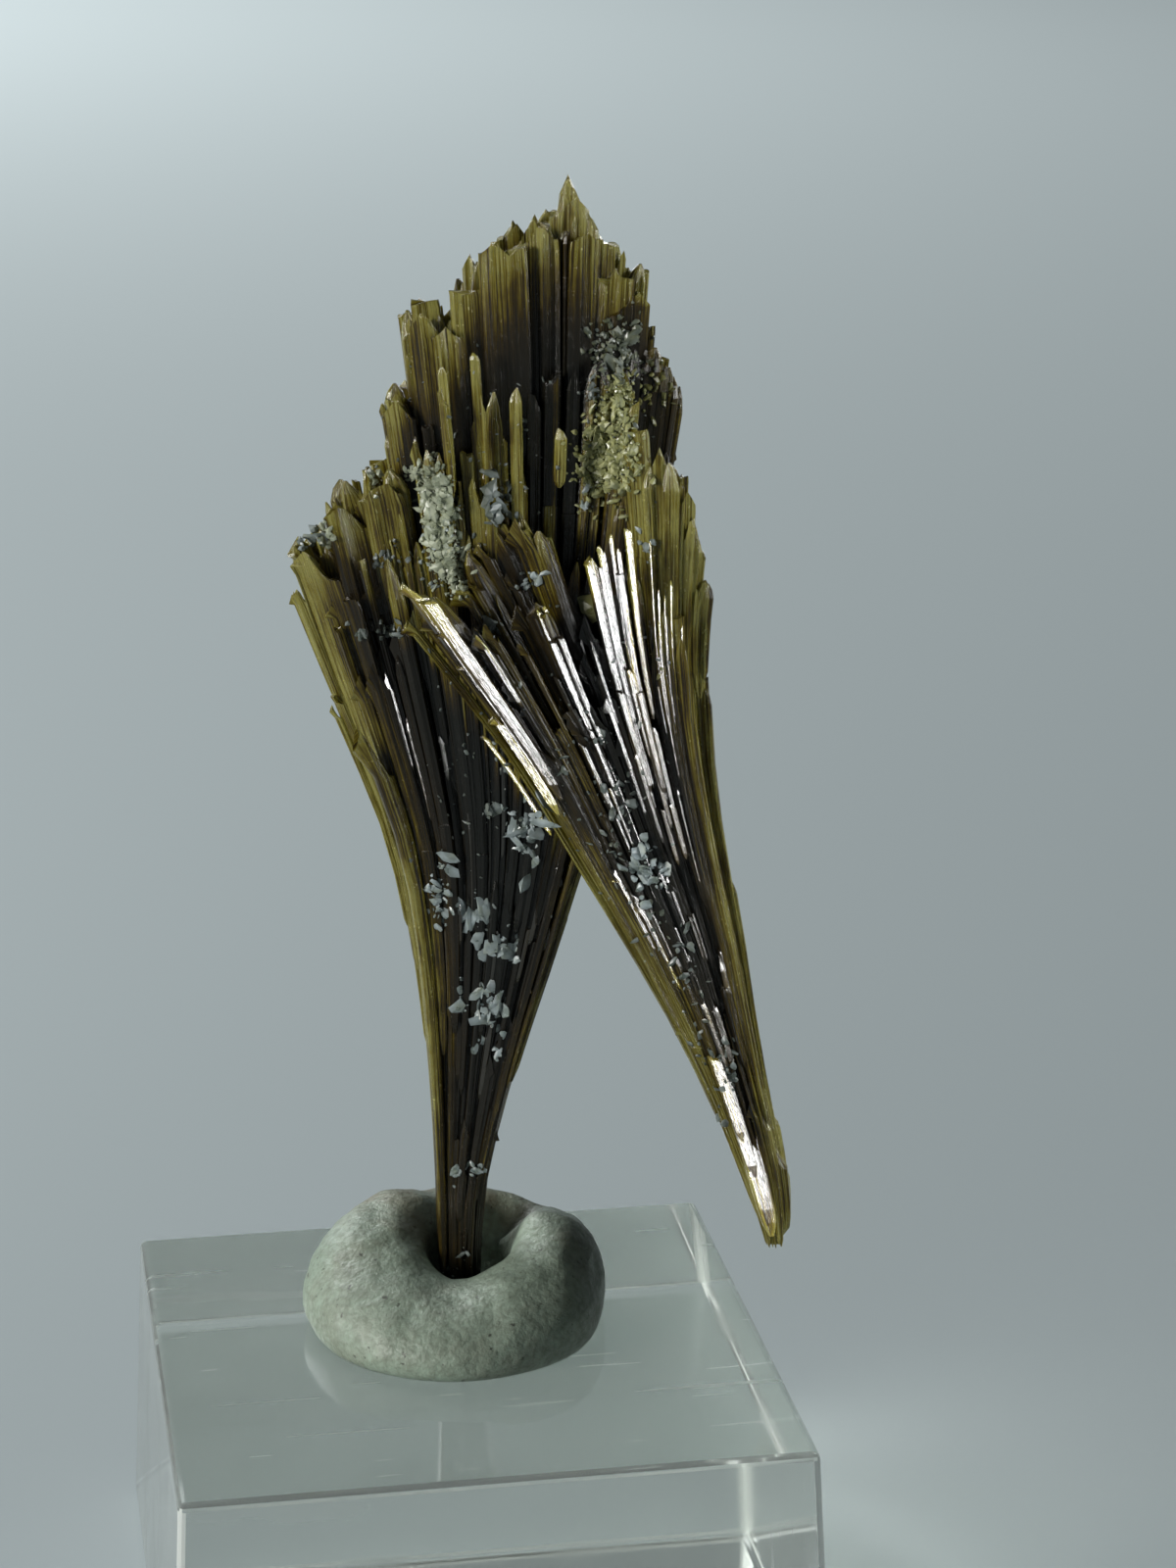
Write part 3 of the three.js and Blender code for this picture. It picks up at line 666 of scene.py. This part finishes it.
# Grains and flakes on the crystals, as [left, right, low, high, count, size, flatness, kind].
# Kinds: 0 pale green, 1 yellow green, 2 white, 3 dull grey, 3.2 to 3.4 grey green, 4 olive.
GRAINS = [
    [-1.35, -0.1, 34.8, 36.9, 110, 0.42, 0.6, 0], [-1.4, -0.2, 33.3, 35.2, 80, 0.4, 0.6, 0],
    [-0.9, 0.3, 32.3, 33.8, 36, 0.34, 0.6, 0], [-0.3, 0.5, 31.6, 32.8, 20, 0.3, 0.6, 0],
    [-1.4, -0.1, 33.8, 37, 300, 0.2, 0.7, 0], [-1, 0.4, 31.8, 34.2, 200, 0.2, 0.7, 0],
    [-1.2, 0.2, 31.6, 36.6, 60, 0.18, 0.8, 2], [-1.9, -1.3, 36.3, 37.1, 40, 0.24, 0.7, 0],
    [-5.5, -4.8, 33.4, 34.8, 14, 0.36, 0.7, 0],
    [-6.5, -5.3, 33.4, 34.8, 26, 0.36, 0.7, 2], [-3.6, -2.9, 36, 37, 9, 0.34, 0.7, 0],
    [1.1, 2.3, 34.4, 36.8, 30, 0.36, 0.5, 3], [5, 7.1, 35.8, 38.6, 150, 0.42, 0.8, 1],
    [5.9, 7, 38.2, 40.4, 50, 0.36, 0.8, 1], [4.9, 7.3, 35.4, 38.9, 420, 0.24, 0.8, 1],
    [5.8, 7.2, 38.2, 40.8, 200, 0.22, 0.8, 1], [3.4, 5, 22.6, 25.6, 16, 0.2, 0.3, 3.2],
    [5.4, 7.2, 18.8, 22.6, 18, 0.2, 0.3, 3.2], [7.4, 9, 15.4, 19, 16, 0.2, 0.3, 3.2],
    [9.2, 10.7, 11.4, 15.4, 14, 0.2, 0.3, 3.2], [5.7, 7.5, 40.4, 42.9, 14, 0.45, 0.8, 3.4],
    [5.5, 7.7, 40.4, 43, 150, 0.24, 0.8, 3.4], [5.2, 7.6, 36, 42.6, 60, 0.16, 0.8, 3],
    [4.8, 6.4, 39, 41, 22, 0.22, 0.6, 3], [7.3, 8.9, 38.6, 41.6, 30, 0.3, 0.6, 4],
    [-4, -1.8, 29.8, 30.7, 22, 0.3, 0.6, 3], [-3.6, -1.9, 32.6, 33.8, 24, 0.28, 0.6, 3],
    [-0.2, 1.1, 17.3, 18.6, 22, 0.4, 0.16, 2], [-1.4, -0.3, 17.4, 20.2, 60, 0.3, 0.25, 2],
    [0.8, 2.6, 15.8, 17.2, 34, 0.38, 0.16, 2],
    [0.4, 2.2, 12.8, 15, 46, 0.38, 0.16, 2], [-0.5, 0.3, 13.2, 14.8, 6, 0.42, 0.2, 2],
    [0.1, 1, 11.8, 12.7, 6, 0.38, 0.2, 2], [1.3, 1.7, 11.2, 12, 4, 0.26, 0.3, 2],
    [1.7, 3.6, 20, 23.2, 46, 0.42, 0.18, 2], [0.6, 1.7, 21.9, 23, 6, 0.5, 0.2, 3],
    [1.2, 2.3, 23.8, 24.8, 5, 0.5, 0.2, 3], [0.1, 1.2, 6.2, 6.9, 16, 0.22, 0.5, 2],
    [-0.5, 0, 6, 6.8, 7, 0.26, 0.4, 2], [-0.9, 0.6, 0.9, 3, 12, 0.16, 0.5, 3],
    [6.8, 8.6, 18.6, 21.4, 50, 0.34, 0.35, 2],
    [5.4, 7.6, 21.6, 24.4, 34, 0.28, 0.4, 3], [5.5, 6.1, 25, 26, 10, 0.3, 0.6, 3],
    [8.8, 9.8, 14.5, 18, 22, 0.22, 0.4, 3], [10.2, 11.8, 8.5, 13.5, 34, 0.22, 0.4, 3],
    [2.3, 3.5, 31.8, 32.7, 16, 0.26, 0.4, 2], [1, 2, 30, 30.8, 9, 0.32, 0.4, 3],
    [2.4, 3, 27.7, 28.5, 5, 0.32, 0.4, 3], [5.3, 5.9, 30.6, 31.4, 2, 0.60, 0.5, 4],
    [8, 8.6, 28, 28.7, 2, 0.60, 0.5, 4], [7.3, 8, 33.1, 34.5, 8, 0.26, 0.5, 2],
    [5, 5.7, 35, 36, 8, 0.34, 0.6, 2], [-3, 3, 15, 30, 70, 0.13, 0.5, 3],
    [2, 9, 20, 32, 80, 0.13, 0.5, 3], [-4, 6, 33, 42, 70, 0.13, 0.5, 3],
]
# The hidden side has some of the same grains.
REAR_GRAINS = [
    [-3.5, 2, 22, 33, 60, 0.26, 0.5, 3], [0.5, 2.6, 29, 33, 60, 0.24, 0.7, 0],
    [3, 6, 34, 38, 70, 0.24, 0.7, 1], [-1, 2, 12, 18, 30, 0.36, 0.2, 2],
    [-2, 5, 20, 40, 90, 0.14, 0.5, 3],
]
VIEW_POINT = Vector((-19.158, -142.15, 81.536)) * MM  # where the photograph was taken from
REAR_POINT = Vector((30.0, 200.0, 50.0)) * MM
MIXED_SIZES = [0.5, 0.8, 1.2, 1.9]
EVEN_SIZES = [0.6, 0.8, 1.0, 1.3]


def build_grains(bases, material):
    """Small later crystals and flakes that lie on the fans where the photograph shows them."""
    rng = random.Random(11)
    graph = bpy.context.evaluated_depsgraph_get()
    trees = [BVHTree.FromObject(base, graph) for base in bases]
    unit = bmesh.new()
    bmesh.ops.create_icosphere(unit, subdivisions=1, radius=1.0)
    ball = [v.co.copy() for v in unit.verts]
    sides = [tuple(v.index for v in f.verts) for f in unit.faces]
    unit.free()
    points, faces, kinds = [], [], []
    rows = [(VIEW_POINT, row) for row in GRAINS] + [(REAR_POINT, row) for row in REAR_GRAINS]
    for eye, (left, right, low, high, count, size, flatness, kind) in rows:
        sizes = MIXED_SIZES if flatness < 0.6 else EVEN_SIZES
        tilt = 0.15 if flatness < 0.3 else 0.5
        for _ in range(count):
            x = rng.gauss(0.5 * (left + right), 0.25 * (right - left))
            z = rng.gauss(0.5 * (low + high), 0.25 * (high - low))
            target = Vector(to_frame([x, 0.0, z])[0])
            ray = (target - eye).normalized()
            hits = [tree.ray_cast(eye, ray) for tree in trees]
            hits = [found for found in hits if found[0] is not None]
            if not hits:
                continue
            hit, normal, _, _ = min(hits, key=lambda found: found[3])
            radius = 0.5 * size * rng.choice(sizes) * rng.uniform(0.8, 1.2) * MM
            turn = normal.to_track_quat("Z", "Y")
            wobble = Euler((rng.gauss(0, tilt), rng.gauss(0, tilt), rng.uniform(0, 6.3)))
            turn = turn @ wobble.to_quaternion()
            stretch = Vector((rng.uniform(0.7, 1.8), rng.uniform(0.45, 1.0), flatness))
            start = len(points)
            for corner in ball:
                shaped = Vector(a * b for a, b in zip(corner, stretch)) * rng.uniform(0.6, 1.25)
                points.append(hit + normal * radius * 0.25 * flatness + turn @ (shaped * radius))
                kinds.append(kind + rng.uniform(-0.3, 0.3))
            faces.extend(tuple(start + k for k in side) for side in sides)
    mesh = bpy.data.meshes.new("grains")
    mesh.from_pydata(points, [], faces)
    mark(mesh, "kind", kinds)
    return add_object("surface_grains", mesh, material)


# Thumbed lobes of the putty, as [direction in degrees, added height, added reach, half width].
PUTTY_LOBES = [
    [-95, -0.9, 0.6, 40], [-140, 0, 0.35, 26],
    [180, 0.6, 0.35, 30], [138, 0.8, 0.3, 30],
    [80, 0.6, -0.2, 32], [5, 0.9, -0.05, 28],
    [-42, 0.1, 0.2, 24],
]
# The ring's section, from the hole's edge to the outer one, as shares of its reach and height.
PUTTY_SECTION = [
    [0, 0], [0.01, 0.3], [0.02, 0.5], [0.06, 0.7], [0.12, 0.84], [0.2, 0.94], [0.3, 1],
    [0.42, 1.01], [0.55, 0.99], [0.67, 0.94], [0.78, 0.85], [0.87, 0.74], [0.94, 0.6],
    [0.985, 0.46], [1, 0.33], [1, 0.2], [0.98, 0.09], [0.94, 0],
]


def apart(angle, direction):
    """How many degrees lie between two directions, with its sign."""
    return (angle - direction + 180) % 360 - 180


def putty_ring():
    """The lobed ring before its surface is made uneven, as points and faces."""
    AROUND = 180
    ALONG = 56
    REACH = 6.2
    HEIGHT = 3.6
    HOLE = 1.3
    GROOVE_AT = 52  # the direction of the groove pressed across the ring's crest
    section = np.array(PUTTY_SECTION, float)
    run = np.r_[0, np.cumsum(np.hypot(*np.diff(section, axis=0).T))]
    at = np.linspace(0, run[-1], ALONG)
    outs, ups = np.interp(at, run, section[:, 0]), np.interp(at, run, section[:, 1])
    points, faces = [], []
    for i in range(AROUND):
        angle = 360 * i / AROUND
        raised = pushed = 0.0
        for direction, height, reach, spread in PUTTY_LOBES:
            share = hump(apart(angle, direction), 0, spread)
            raised += height * share
            pushed += reach * share
        c, s = math.cos(math.radians(angle)), math.sin(math.radians(angle))
        hole = HOLE + 0.4 * max(0.0, c) + 0.12 * c
        groove = hump(apart(angle, GROOVE_AT), 0, 22)
        for out, up in zip(outs, ups):
            x = (1 - out) * hole * c + out * (-0.1 + (REACH + pushed) * c)
            y = (1 - out) * hole * s + out * (-0.6 + (REACH + pushed) * s)
            crest = HEIGHT + raised - 1.3 * groove * hump(out, 0.25, 0.25)
            points.append((x, y, up * crest))
    for i in range(AROUND):
        for k in range(ALONG - 1):
            a, b = i * ALONG + k, (i + 1) % AROUND * ALONG + k
            faces.append((a, b, b + 1, a + 1))
    for i in range(AROUND):
        a, b = i * ALONG, (i + 1) % AROUND * ALONG
        faces.append((a, a + ALONG - 1, b + ALONG - 1, b))
    return points, faces


def build_putty(material):
    """The ring of putty, pressed round the foot and down onto the block."""
    points, faces = putty_ring()
    mesh = bpy.data.meshes.new("putty")
    mesh.from_pydata(points, [], faces)
    mesh.update()
    shaped = []
    for vertex in mesh.vertices:
        p, free = vertex.co, min(1.0, vertex.co.z / 0.8)
        swell = 0.16 * noise.noise(p * 0.45) + 0.07 * noise.noise(p * 1.1 + Vector((7, 0, 0)))
        swell += 0.018 * noise.noise(p * 3.5)
        shaped.append(p + vertex.normal * swell * free)
    for vertex, place in zip(mesh.vertices, to_frame(shaped)):
        vertex.co = place
    for polygon in mesh.polygons:
        polygon.use_smooth = True
    bm = bmesh.new()
    bm.from_mesh(mesh)
    bmesh.ops.recalc_face_normals(bm, faces=bm.faces)
    bm.to_mesh(mesh)
    bm.free()
    return add_object("putty", mesh, material)


def build_block(material, edge_material):
    """The clear block: sides that lean out downwards, and softly rounded edges."""
    TOP_HALF = 12.7
    HEIGHT = 12.7
    BEVEL = 0.3
    LEAN = math.radians(2.8)
    low_half = TOP_HALF + HEIGHT * math.tan(LEAN)
    mesh = bpy.data.meshes.new("block")
    bm = bmesh.new()
    rings = []
    for half, z in ((low_half, 0.0), (TOP_HALF, HEIGHT)):
        square = ((-half, -half), (half, -half), (half, half), (-half, half))
        rings.append([bm.verts.new((x * MM, y * MM, z * MM)) for x, y in square])
    bm.faces.new(reversed(rings[0]))
    bm.faces.new(rings[1])
    for k in range(4):
        a, b = rings[0][k], rings[0][(k + 1) % 4]
        c, d = rings[1][(k + 1) % 4], rings[1][k]
        bm.faces.new((a, b, c, d))
    bmesh.ops.bevel(bm, geom=bm.edges[:], offset=BEVEL * MM, segments=3, profile=0.5,
                    affect="EDGES", clamp_overlap=True)
    for face in bm.faces:
        upright_edge = max(map(abs, face.normal)) < 0.99 and abs(face.normal.z) < 0.3
        face.material_index = int(upright_edge)
    bm.to_mesh(mesh)
    bm.free()
    return add_object("block", mesh, material, edge_material)


class Nodes:
    """A short way to write a material's nodes."""

    def __init__(self, name):
        self.material = bpy.data.materials.new(name)
        self.material.use_nodes = True
        self.tree = self.material.node_tree
        self.shader = self.tree.nodes["Principled BSDF"]

    def add(self, kind, **values):
        node = self.tree.nodes.new(kind)
        for name, value in values.items():
            if hasattr(node, name):
                setattr(node, name, value)
            else:
                node.inputs[name.replace("_", " ")].default_value = value
        return node

    def link(self, source, target):
        self.tree.links.new(source, target)

    def feed(self, value, socket):
        """Links what another node gives, and sets a plain number or colour."""
        if isinstance(value, bpy.types.NodeSocket):
            self.link(value, socket)
        else:
            socket.default_value = value

    def ramp(self, value, stops):
        node = self.tree.nodes.new("ShaderNodeValToRGB")
        elements = node.color_ramp.elements
        while len(elements) < len(stops):
            elements.new(0.5)
        for element, (place, colour) in zip(elements, stops):
            element.position = place
            element.color = (*colour, 1)
        self.link(value, node.inputs["Fac"])
        return node.outputs["Color"]

    def mix(self, share, a, b, blend="MIX"):
        node = self.add("ShaderNodeMix", data_type="RGBA", blend_type=blend)
        for value, socket in ((share, node.inputs[0]), (a, node.inputs[6]), (b, node.inputs[7])):
            self.feed(value, socket)
        return node.outputs[2]

    def math(self, operation, *values, clamp=False):
        node = self.add("ShaderNodeMath", operation=operation, use_clamp=clamp)
        for value, socket in zip(values, node.inputs):
            self.feed(value, socket)
        return node.outputs[0]

    def span(self, value, low, high, to_low=0.0, to_high=1.0):
        """Turns the range from low to high into the range from to_low to to_high."""
        ends = {"From_Min": low, "From_Max": high, "To_Min": to_low, "To_Max": to_high}
        node = self.add("ShaderNodeMapRange", **ends)
        self.link(value, node.inputs["Value"])
        return node.outputs["Result"]

    def bump(self, height, strength, distance, onto=None):
        node = self.add("ShaderNodeBump", Distance=distance)
        self.feed(strength, node.inputs["Strength"])
        self.link(height, node.inputs["Height"])
        if onto is not None:
            self.link(onto, node.inputs["Normal"])
        return node.outputs["Normal"]

    def mark(self, name, output="Fac"):
        """The value that the mesh's points carry under this name."""
        return self.add("ShaderNodeAttribute", attribute_name=name).outputs[output]

    def noise(self, place, scale, detail, roughness=0.5):
        texture = self.add("ShaderNodeTexNoise", Scale=scale, Detail=detail, Roughness=roughness)
        self.link(place, texture.inputs["Vector"])
        return texture.outputs["Fac"]


def epidote_material(name, specular):
    """Nearly black crystal that turns brown, olive and yellow where it is thin enough to glow:
    painted light shining through, in the base colour, with some real transmission.
    """
    n = Nodes(name)
    fibre, painted_glow, polish = n.mark("fibre", "Vector"), n.mark("painted_glow"), n.mark("polish")

    def along(scale, detail):
        stretched = n.add("ShaderNodeVectorMath", operation="MULTIPLY")
        n.link(fibre, stretched.inputs[0])
        stretched.inputs[1].default_value = scale
        return n.noise(stretched.outputs[0], 1.0, detail, 0.6)

    streaks = along((12.0, 1.0, 0.22), 5.0)
    patches = along((0.9, 1.0, 0.5), 3.0)
    flecks = along((5.0, 1.0, 3.0), 3.0)
    light = n.math("MULTIPLY", painted_glow, n.span(streaks, 0.34, 0.66, 0.35, 1.5))
    light = n.math("MULTIPLY", light, n.span(patches, 0.35, 0.65, 0.72, 1.18), clamp=True)
    # Painted light: the glow lightens the base colour from black through brown to olive and yellow.
    colour = n.ramp(light, [
        (0.0, (0.006, 0.006, 0.0045)),
        (0.2, (0.014, 0.010, 0.005)),
        (0.38, (0.034, 0.022, 0.003)),
        (0.56, (0.11, 0.08, 0.007)),
        (0.75, (0.28, 0.235, 0.03)),
        (1.0, (0.5, 0.46, 0.12)),
    ])
    n.link(colour, n.shader.inputs["Base Color"])
    rough = n.span(streaks, 0.3, 0.7, 0.09, 0.2)
    rough = n.math("ADD", rough, n.span(flecks, 0.55, 0.75, 0.0, 0.18))
    n.link(n.math("MULTIPLY", rough, n.span(polish, 0, 1, 1.0, 0.8)), n.shader.inputs["Roughness"])
    n.link(n.span(light, 0.3, 0.85, 0.0, 0.6), n.shader.inputs["Transmission Weight"])
    n.shader.inputs["IOR"].default_value = 1.75
    n.shader.inputs["Specular IOR Level"].default_value = specular
    fine = n.bump(streaks, n.span(polish, 0, 1, 0.7, 0.45), 0.00008)
    n.link(n.bump(flecks, 0.12, 0.00003, fine), n.shader.inputs["Normal"])
    return n.material


def grains_material():
    """Sugary grains, each with the colour of its kind."""
    n = Nodes("grains")
    place = n.add("ShaderNodeTexCoord").outputs["Object"]
    mottle = n.noise(place, 1800.0, 4.0)
    colour = n.ramp(n.span(n.mark("kind"), 0, 4), [
        (0.0, (0.52, 0.56, 0.42)),
        (0.25, (0.50, 0.50, 0.21)),
        (0.5, (0.44, 0.51, 0.53)),
        (0.75, (0.20, 0.23, 0.22)),
        (0.85, (0.18, 0.20, 0.15)),
        (1.0, (0.22, 0.21, 0.06)),
    ])
    dark = n.mix(n.span(mottle, 0.35, 0.65), (0.45, 0.47, 0.42, 1), (1, 1, 1, 1))
    n.link(n.mix(1.0, colour, dark, "MULTIPLY"), n.shader.inputs["Base Color"])
    n.link(n.span(mottle, 0.3, 0.7, 0.2, 0.5), n.shader.inputs["Roughness"])
    n.shader.inputs["Transmission Weight"].default_value = 0.25
    n.shader.inputs["IOR"].default_value = 1.6
    n.link(n.bump(mottle, 0.3, 0.00005), n.shader.inputs["Normal"])
    return n.material


def putty_material():
    """Grey-green clay with dark specks, painted shade and a stain darkening its right, and a brown
    stain at its back.
    """
    SHADE_AND_STAIN = (0.0028, 0.0068)  # where the painted shade and stain at the right begin and are full, in metres across
    BROWN = (0.001, 0.006)  # where the brown begins and is full, in metres to the back
    n = Nodes("putty")
    place = n.add("ShaderNodeTexCoord").outputs["Object"]
    broad = n.noise(place, 260.0, 5.0, 0.6)
    fine = n.noise(place, 3200.0, 6.0, 0.6)
    specks = n.noise(place, 2600.0, 2.0, 0.6)
    colour = n.ramp(broad, [
        (0.3, (0.26, 0.33, 0.26)),
        (0.5, (0.31, 0.385, 0.31)),
        (0.7, (0.33, 0.37, 0.29)),
    ])
    colour = n.mix(n.span(fine, 0.35, 0.65, 0.0, 0.6), colour, (0.15, 0.175, 0.13, 1))
    colour = n.mix(n.span(specks, 0.66, 0.72, 0.0, 0.8), colour, (0.05, 0.05, 0.04, 1))
    axes = n.add("ShaderNodeSeparateXYZ")
    n.link(place, axes.inputs[0])
    # Painted shade, with some dirt: the ring darkens towards its right side.
    shade_and_stain = n.math("ADD", n.span(axes.outputs[0], *SHADE_AND_STAIN), n.span(broad, 0.3, 0.7, -0.4, 0.4))
    colour = n.mix(n.math("MULTIPLY", shade_and_stain, 0.8, clamp=True), colour, (0.035, 0.036, 0.03, 1))
    brown = n.span(axes.outputs[1], *BROWN)
    brown = n.math("MULTIPLY", brown, n.span(broad, 0.42, 0.62), clamp=True)
    colour = n.mix(n.math("MULTIPLY", brown, 0.5), colour, (0.22, 0.17, 0.10, 1))
    n.link(colour, n.shader.inputs["Base Color"])
    n.link(n.span(fine, 0.3, 0.7, 0.28, 0.55), n.shader.inputs["Roughness"])
    soft = n.bump(broad, 0.25, 0.0004)
    n.link(n.bump(fine, 0.7, 0.00012, soft), n.shader.inputs["Normal"])
    return n.material


def acrylic_material(name, ground=False):
    """Clear acrylic with smears and fine scratches, or its ground and so paler upright edges."""
    CLEAR, GROUND = 0.88, 0.35
    n = Nodes(name)
    place = n.add("ShaderNodeTexCoord").outputs["Object"]
    smear = n.noise(place, 220.0, 4.0)
    turned = n.add("ShaderNodeMapping", Rotation=(0, 0, 0.5), Scale=(90, 3200, 200))
    n.link(place, turned.inputs["Vector"])
    scratch = n.span(n.noise(turned.outputs[0], 1.0, 2.0), 0.68, 0.74)
    n.shader.inputs["Base Color"].default_value = (0.715, 0.75, 0.725, 1)
    n.shader.inputs["IOR"].default_value = 1.49
    n.shader.inputs["Transmission Weight"].default_value = GROUND if ground else CLEAR
    rough = n.span(smear, 0.4, 0.7, 0.03, 0.16)
    if ground:
        rough = n.math("ADD", rough, 0.4)
    n.link(n.math("ADD", rough, n.math("MULTIPLY", scratch, 0.4)), n.shader.inputs["Roughness"])
    shade = n.add("ShaderNodeBsdfTransparent")
    shade.inputs["Color"].default_value = (0.5, 0.525, 0.51, 1)
    path = n.add("ShaderNodeLightPath")
    blend = n.add("ShaderNodeMixShader")
    n.link(path.outputs["Is Shadow Ray"], blend.inputs[0])
    n.link(n.shader.outputs[0], blend.inputs[1])
    n.link(shade.outputs[0], blend.inputs[2])
    n.link(blend.outputs[0], n.tree.nodes["Material Output"].inputs["Surface"])
    return n.material


def add_camera():
    """The photograph's view, worked out from the four corners of the block's top."""
    FOCAL_PIXELS = 3797.5
    PHOTO_PIXELS_HIGH = 1600
    SENSOR = 36.0
    DOWN, ASIDE = 17.16, -9.846  # degrees
    data = bpy.data.cameras.new("camera")
    data.sensor_fit = "VERTICAL"
    data.sensor_height = SENSOR
    data.lens = SENSOR * FOCAL_PIXELS / PHOTO_PIXELS_HIGH
    data.clip_start = 0.01
    camera = add_object("camera", data)
    camera.location = VIEW_POINT
    camera.rotation_euler = (math.radians(90 - DOWN), 0, math.radians(ASIDE))
    bpy.context.scene.camera = camera


def add_floor():
    n = Nodes("floor")
    n.shader.inputs["Base Color"].default_value = (0.62, 0.68, 0.69, 1)
    n.shader.inputs["Roughness"].default_value = 0.85
    bpy.ops.mesh.primitive_plane_add(size=4.0, location=(0, 1.0, -0.0002))
    floor = bpy.context.object
    floor.name = "floor"
    floor.data.materials.append(n.material)
    floor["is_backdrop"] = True
    return floor


def add_world():
    """A dim surround, with a paler backdrop low behind the object."""
    world = bpy.data.worlds.new("world")
    bpy.context.scene.world = world
    world.use_nodes = True
    nodes, links = world.node_tree.nodes, world.node_tree.links
    background = nodes["Background"]
    background.inputs["Color"].default_value = (0.75, 0.87, 0.9, 1)
    toward = nodes.new("ShaderNodeTexCoord")
    axes = nodes.new("ShaderNodeSeparateXYZ")
    links.new(toward.outputs["Generated"], axes.inputs[0])
    behind = nodes.new("ShaderNodeMapRange")
    links.new(axes.outputs[1], behind.inputs["Value"])
    for key, value in (("From Min", 0.55), ("From Max", 0.9), ("To Min", 0.07), ("To Max", 0.27)):
        behind.inputs[key].default_value = value
    links.new(behind.outputs["Result"], background.inputs["Strength"])


COOL = (0.95, 0.99, 1.0)
PALE = (0.97, 1.0, 1.0)
WARM = (1.0, 0.99, 0.95)
WHITE = (1.0, 1.0, 1.0)


def add_light(name, place, aim, size, power, colour, pieces=()):
    """A soft light that isn't seen itself and, where pieces are given, lights only those."""
    data = bpy.data.lights.new(name, "AREA")
    data.shape = "RECTANGLE"
    data.size, data.size_y = size
    data.energy = power
    data.color = colour
    light = add_object(name, data)
    light.location = place
    light.rotation_euler = (Vector(aim) - Vector(place)).to_track_quat("-Z", "Y").to_euler()
    light.visible_camera = False
    light.visible_transmission = False
    if pieces:
        light.light_linking.receiver_collection = bpy.data.collections.new("lit_by_" + name)
        for piece in pieces:
            light.light_linking.receiver_collection.objects.link(piece)


def add_lights(floor, shining, crystals, everything):
    """One light for the backdrop, one for the floor, and others for the object alone."""
    add_light("back", (-0.36, 0.8, 0.55), (-0.14, 0.6, 0.0), (0.4, 0.4), 6.2, COOL)
    add_light("fill", (-0.17, 0.07, 0.14), (0, 0.07, 0), (0.1, 0.1), 0.115, COOL, [floor])
    add_light("key", (-0.30, -0.106, 0.11), (0, 0, 0.03), (0.1, 0.1), 1.1, WARM, everything)
    add_light("side", (0.21, -0.11, 0.09), (0, 0, 0.045), (0.1, 0.1), 0.5, PALE, crystals)
    add_light("rear", (0.2, 0.22, 0.13), (0, 0, 0.04), (0.12, 0.12), 0.5, PALE, crystals)
    add_light("low", (0.045, -0.16, 0.019), (0, 0, 0.04), (0.05, 0.034), 0.36, WHITE, [shining])


add_camera()
cluster, leaning = build_cluster(epidote_material("epidote", 0.26))
shining_crystals = build_shining(epidote_material("epidote_polished", 0.55))
grains = build_grains([cluster, leaning, shining_crystals], grains_material())
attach(cluster, BODY)
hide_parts("epidote_cluster")
for piece in (leaning, shining_crystals, grains):
    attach(piece, BODY)

putty = build_putty(putty_material())
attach(putty, BODY)
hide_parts("mounting_putty")

block = build_block(acrylic_material("acrylic"), acrylic_material("acrylic_edge", ground=True))
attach(block, BODY)
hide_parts("acrylic_block")

crystals = [cluster, leaning, shining_crystals, grains]
floor = add_floor()
add_world()
add_lights(floor, shining_crystals, crystals, crystals + [putty, block])
bpy.context.scene.view_settings.view_transform = "Standard"

corners = {"cad": CAD_BOX, "visual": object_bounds()}
{key: [list(corner) for corner in box] for key, box in corners.items()}
